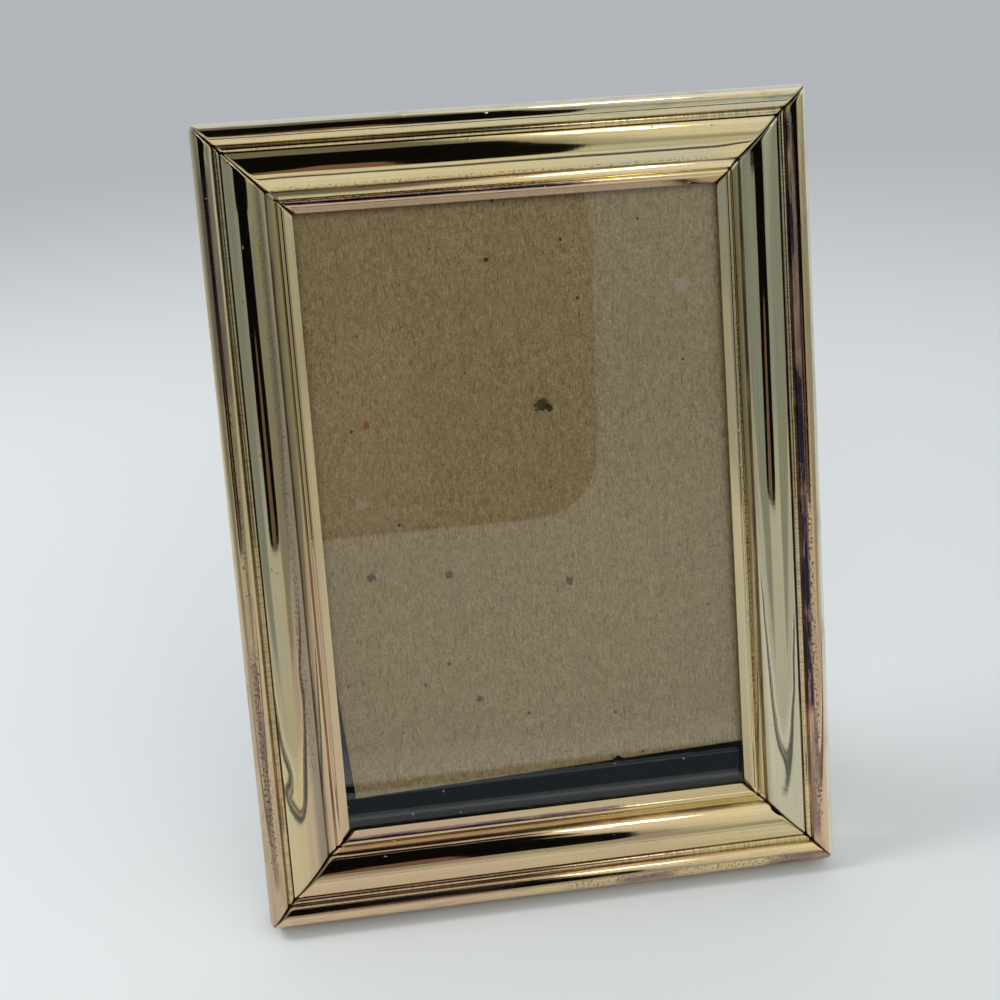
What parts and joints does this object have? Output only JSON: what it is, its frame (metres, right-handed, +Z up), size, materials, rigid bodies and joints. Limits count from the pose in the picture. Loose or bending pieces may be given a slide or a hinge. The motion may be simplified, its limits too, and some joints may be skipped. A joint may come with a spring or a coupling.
{
  "type": "easel back photo frame",
  "caption": "Tabletop photo frame with a mitred metal moulding, a glass pane, a velvet-covered back held by turn buttons, and a hinged easel leg with a ribbon stay.",
  "frame": {"origin": "on the ground, under the middle of the whole object's bounding box, with the leg open", "axes": "+Z up, the picture faces -Y and leans back, +X to the right when seen from the front"},
  "size_m": [0.138, 0.0786, 0.1808],
  "materials": {
    "moulding_plate": "polished silver-plated brass, tarnished",
    "key_steel": "plain pressed steel",
    "pane": "clear float glass",
    "card": "brown chipboard",
    "board": "grey-brown strawboard",
    "lining": "dark blue-black paper",
    "velvet": "dark navy velvet",
    "fittings": "brass-plated, satin",
    "ribbon": "dark navy satin ribbon"
  },
  "bodies": {
    "frame": {"rail_top": "moulding_plate", "rail_bottom": "moulding_plate", "rail_left": "moulding_plate", "rail_right": "moulding_plate", "corner_key_top_left": "key_steel", "corner_key_top_right": "key_steel", "corner_key_bottom_left": "key_steel", "corner_key_bottom_right": "key_steel", "glass_pane": "pane", "insert_card": "card", "back_board": "board", "back_lining": "lining", "back_velvet": "velvet", "turn_button_rivets": "fittings", "hinge_back_leaf": "fittings", "hinge_pin": "fittings", "hinge_back_rivets": "fittings", "ribbon_stay": "ribbon", "ribbon_back_rivet": "fittings"},
    "leg": {"leg_board": "board", "leg_velvet": "velvet", "hinge_leg_leaf": "fittings", "hinge_leg_rivets": "fittings", "ribbon_leg_rivet": "fittings"},
    "button_left_lower": {"turn_button_left_lower": "fittings"},
    "button_left_upper": {"turn_button_left_upper": "fittings"},
    "button_right_lower": {"turn_button_right_lower": "fittings"},
    "button_right_upper": {"turn_button_right_upper": "fittings"}
  },
  "joints": [
    {"name": "leg_hinge", "type": "hinge", "parent": "frame", "child": "leg", "pos_m": [0, 0.0104, 0.11869], "axis": [-1, 0, 0], "range_deg": [0, 30], "deforming": ["ribbon_stay"]},
    {"name": "turn_button_left_lower_swivel", "type": "hinge", "parent": "frame", "child": "button_left_lower", "pos_m": [-0.05555, -0.01259, 0.04947], "axis": [0, -0.9563, 0.2924], "range_deg": [-90, 90]},
    {"name": "turn_button_left_upper_swivel", "type": "hinge", "parent": "frame", "child": "button_left_upper", "pos_m": [-0.05555, 0.01134, 0.12774], "axis": [0, -0.9563, 0.2924], "range_deg": [-90, 90]},
    {"name": "turn_button_right_lower_swivel", "type": "hinge", "parent": "frame", "child": "button_right_lower", "pos_m": [0.05555, -0.01259, 0.04947], "axis": [0, -0.9563, 0.2924], "range_deg": [-90, 90]},
    {"name": "turn_button_right_upper_swivel", "type": "hinge", "parent": "frame", "child": "button_right_upper", "pos_m": [0.05555, 0.01134, 0.12774], "axis": [0, -0.9563, 0.2924], "range_deg": [-90, 90]}
  ]
}
